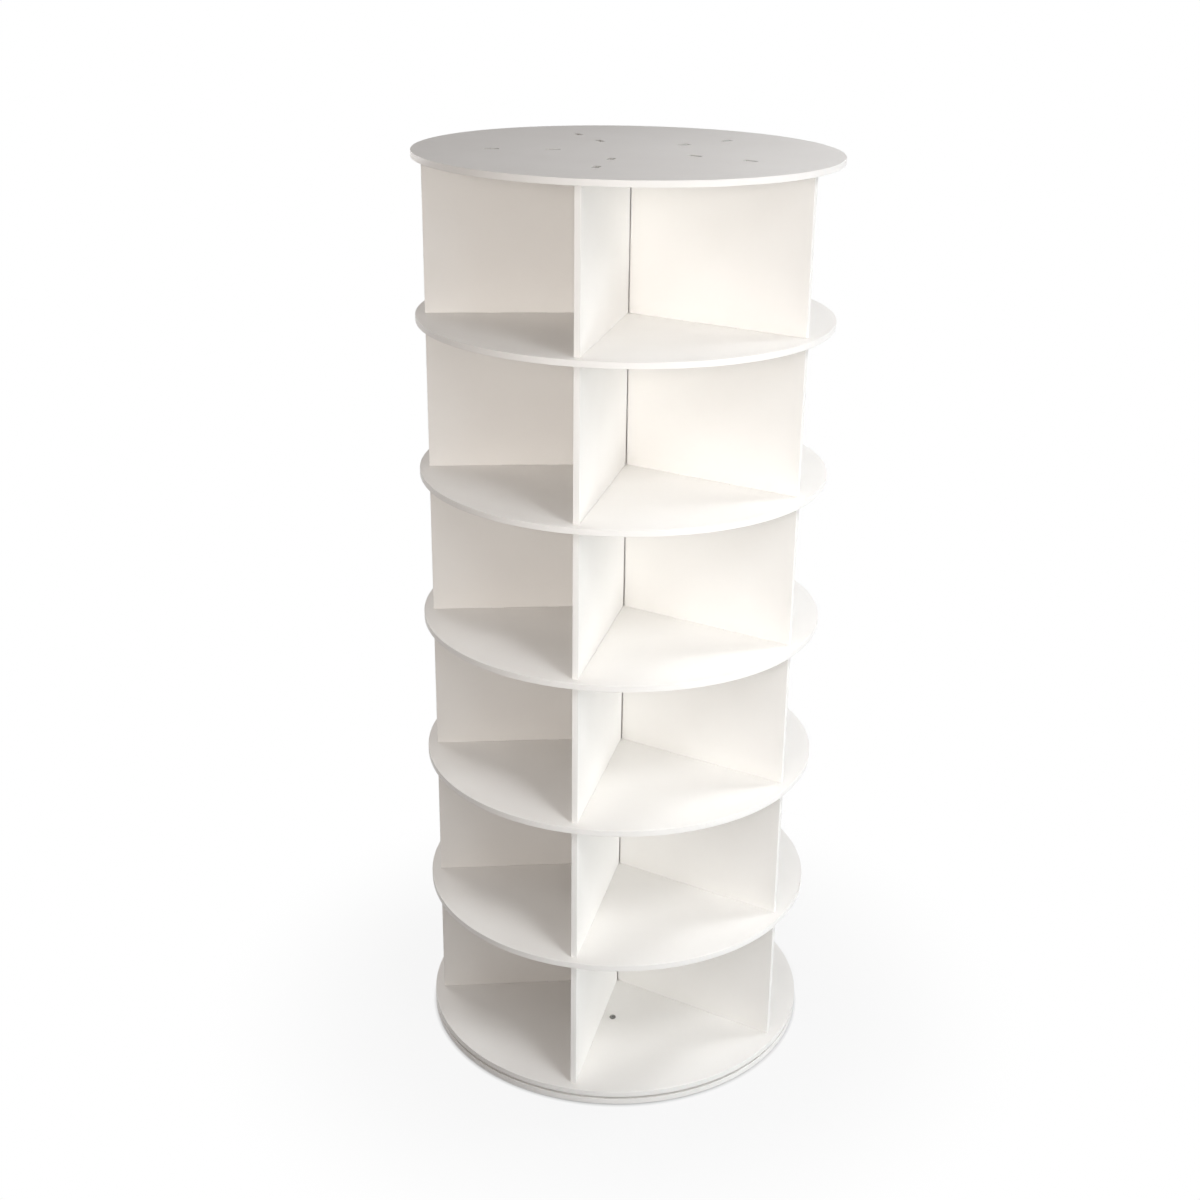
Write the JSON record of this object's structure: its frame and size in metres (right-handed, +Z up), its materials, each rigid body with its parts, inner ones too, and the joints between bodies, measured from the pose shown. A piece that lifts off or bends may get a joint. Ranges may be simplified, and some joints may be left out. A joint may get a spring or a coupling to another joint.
{
  "type": "rotating shoe tower",
  "caption": "Floor-standing round shoe tower with stacked open compartments between radial dividers, turning on a ball-bearing ring above a fixed base board.",
  "frame": {"origin": "on the turning axis, at the underside of the floor pads", "axes": "+Z up along the turning axis; -Y along the first divider of each tier, +X to its right"},
  "size_m": [0.5999, 0.6, 1.38],
  "materials": {
    "white_board": "white satin faced board",
    "ring_aluminium": "turned, satin",
    "ball_steel": "polished",
    "cage_plastic": "natural moulded nylon",
    "zinc_steel": "zinc plated",
    "pad_foam": "matt foam"
  },
  "bodies": {
    "base": {"floor_pads": "pad_foam", "base_board": "white_board", "base_screws": "zinc_steel", "bearing_inner_ring": "ring_aluminium"},
    "ball_ring": {"bearing_balls": "ball_steel", "bearing_ball_cage": "cage_plastic"},
    "tower": {"bearing_outer_ring": "ring_aluminium", "bearing_bolts": "zinc_steel", "disc_0_lowest": "white_board", "disc_1_shelf": "white_board", "disc_2_shelf": "white_board", "disc_3_shelf": "white_board", "disc_4_shelf": "white_board", "disc_5_shelf": "white_board", "disc_6_top": "white_board", "tier_1_divider_1": "white_board", "tier_1_divider_2": "white_board", "tier_1_divider_3": "white_board", "tier_1_divider_4": "white_board", "tier_1_divider_5": "white_board", "tier_2_divider_1": "white_board", "tier_2_divider_2": "white_board", "tier_2_divider_3": "white_board", "tier_2_divider_4": "white_board", "tier_2_divider_5": "white_board", "tier_3_divider_1": "white_board", "tier_3_divider_2": "white_board", "tier_3_divider_3": "white_board", "tier_3_divider_4": "white_board", "tier_3_divider_5": "white_board", "tier_4_divider_1": "white_board", "tier_4_divider_2": "white_board", "tier_4_divider_3": "white_board", "tier_4_divider_4": "white_board", "tier_4_divider_5": "white_board", "tier_5_divider_1": "white_board", "tier_5_divider_2": "white_board", "tier_5_divider_3": "white_board", "tier_5_divider_4": "white_board", "tier_5_divider_5": "white_board", "tier_6_divider_1": "white_board", "tier_6_divider_2": "white_board", "tier_6_divider_3": "white_board", "tier_6_divider_4": "white_board", "tier_6_divider_5": "white_board"}
  },
  "joints": [
    {"name": "tower_turn", "type": "hinge", "parent": "base", "child": "tower", "pos_m": [0, 0, 0.011], "axis": [0, 0, 1], "continuous": true},
    {"name": "ball_ring_turn", "type": "hinge", "parent": "base", "child": "ball_ring", "pos_m": [0, 0, 0.011], "axis": [0, 0, 1], "continuous": true}
  ],
  "couplings": [
    {"joint": "ball_ring_turn", "follows": "tower_turn", "ratio": 0.507}
  ]
}
